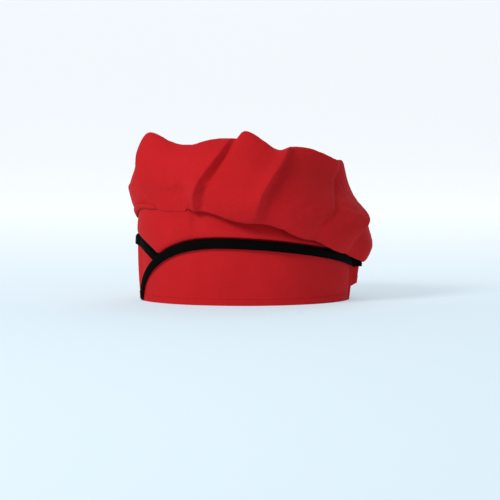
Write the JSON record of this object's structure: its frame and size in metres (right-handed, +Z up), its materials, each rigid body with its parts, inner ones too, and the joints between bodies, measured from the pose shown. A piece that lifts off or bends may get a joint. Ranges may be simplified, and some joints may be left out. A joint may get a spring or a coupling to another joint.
{
  "type": "chef hat",
  "caption": "Soft cloth chef hat: a puffed, pleated crown set into a low band that laps over itself in rounded ends, bound along its top edge and gathered on elastic at the back.",
  "frame": {"origin": "under the middle of the hat's box, on the surface that the rim stands on", "axes": "+Z up; the long way of the head along X, with the lapped front of the band at -X and its gathered back at +X; the side that is looked at faces -Y"},
  "size_m": [0.2276, 0.1992, 0.1578],
  "materials": {
    "crown_cloth": "matt cotton twill",
    "band_cloth": "matt cotton twill, stiffened",
    "binding_tape": "soft sheen"
  },
  "bodies": {
    "root": {"crown": "crown_cloth", "band_near": "band_cloth", "band_far": "band_cloth", "back_panel": "band_cloth", "binding_near": "binding_tape", "binding_far": "binding_tape", "binding_back": "binding_tape"}
  },
  "joints": []
}
